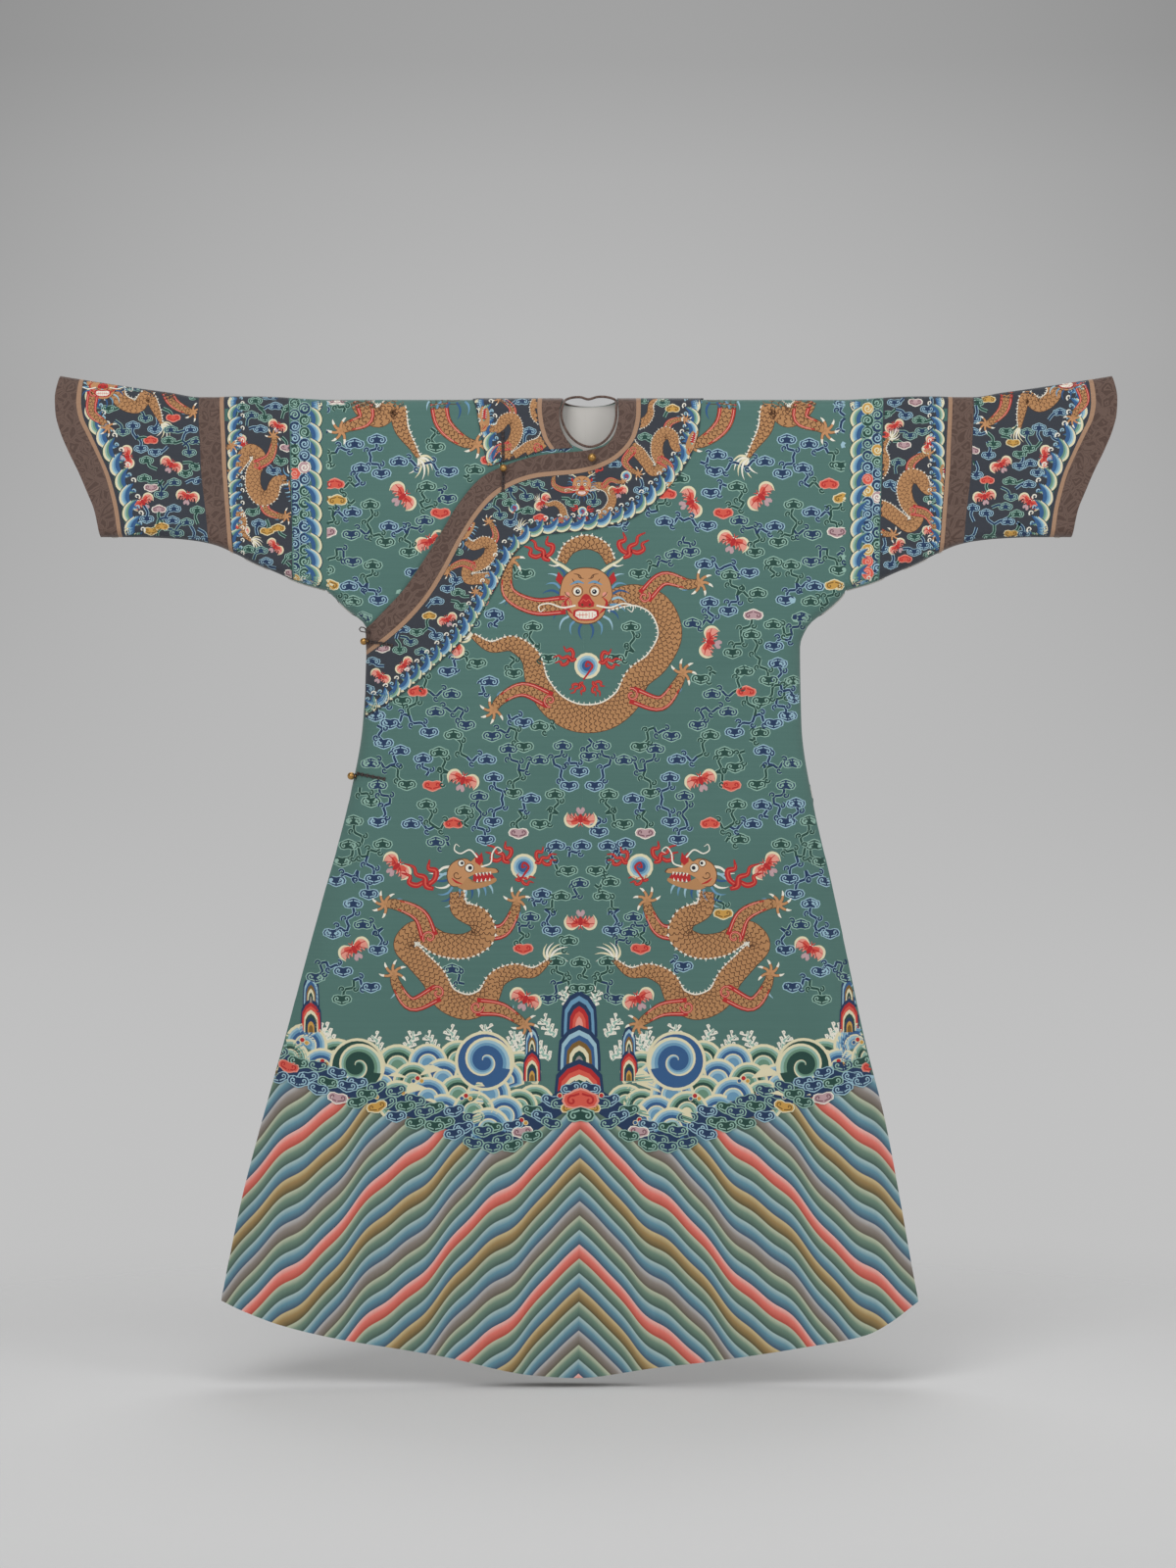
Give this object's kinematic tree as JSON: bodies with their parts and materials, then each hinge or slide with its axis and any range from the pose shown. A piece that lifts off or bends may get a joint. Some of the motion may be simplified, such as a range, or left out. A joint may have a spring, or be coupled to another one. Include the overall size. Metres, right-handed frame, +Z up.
{
  "type": "festival robe",
  "caption": "Long flaring robe of woven silk with a round neck, side closing, banded sleeves, flared cuffs and ball buttons, hung spread out.",
  "frame": {"origin": "on the shoulder line at the middle of the neck, between the front and the back, where the robe is held", "axes": "+Z up, -Y out of the front, +X to the wearer's left, along the sleeves"},
  "size_m": [1.5308, 0.0656, 1.4475],
  "materials": {
    "green_silk": "matte tapestry-woven silk",
    "navy_silk": "matte tapestry-woven silk",
    "brown_damask": "soft sheen, tone-on-tone damask",
    "tan_piping": "matte plain silk",
    "brass": "aged, softly polished",
    "dark_cord": "matte silk cord"
  },
  "bodies": {
    "root": {"front_left": "green_silk", "front_overlap": "green_silk", "front_under": "green_silk", "back_left": "green_silk", "back_right": "green_silk", "sleeve_left": "green_silk", "sleeve_right": "green_silk", "neck_border": "navy_silk", "under_border": "navy_silk", "back_border": "navy_silk", "sleeve_band_left": "navy_silk", "sleeve_band_right": "navy_silk", "cuff_left": "navy_silk", "cuff_right": "navy_silk", "neck_damask": "brown_damask", "under_damask": "brown_damask", "back_damask": "brown_damask", "neck_binding": "brown_damask", "sleeve_damask_left": "brown_damask", "sleeve_damask_right": "brown_damask", "cuff_hoof_left": "brown_damask", "cuff_hoof_right": "brown_damask", "neck_tan": "tan_piping", "under_tan": "tan_piping", "back_tan": "tan_piping", "sleeve_tan_left": "tan_piping", "sleeve_tan_right": "tan_piping", "cuff_tan_left": "tan_piping", "cuff_tan_right": "tan_piping", "button_neck": "brass", "button_shoulder": "brass", "button_underarm": "brass", "button_side": "brass", "loop_neck": "dark_cord", "loop_shoulder": "dark_cord", "loop_underarm": "dark_cord", "loop_side": "dark_cord", "loop_spare": "dark_cord", "strip_neck": "dark_cord", "strip_shoulder_upper": "dark_cord", "strip_shoulder_lower": "dark_cord", "strip_underarm_front": "dark_cord", "strip_underarm_back": "dark_cord", "strip_side_front": "dark_cord", "strip_side_back": "dark_cord"}
  },
  "joints": []
}
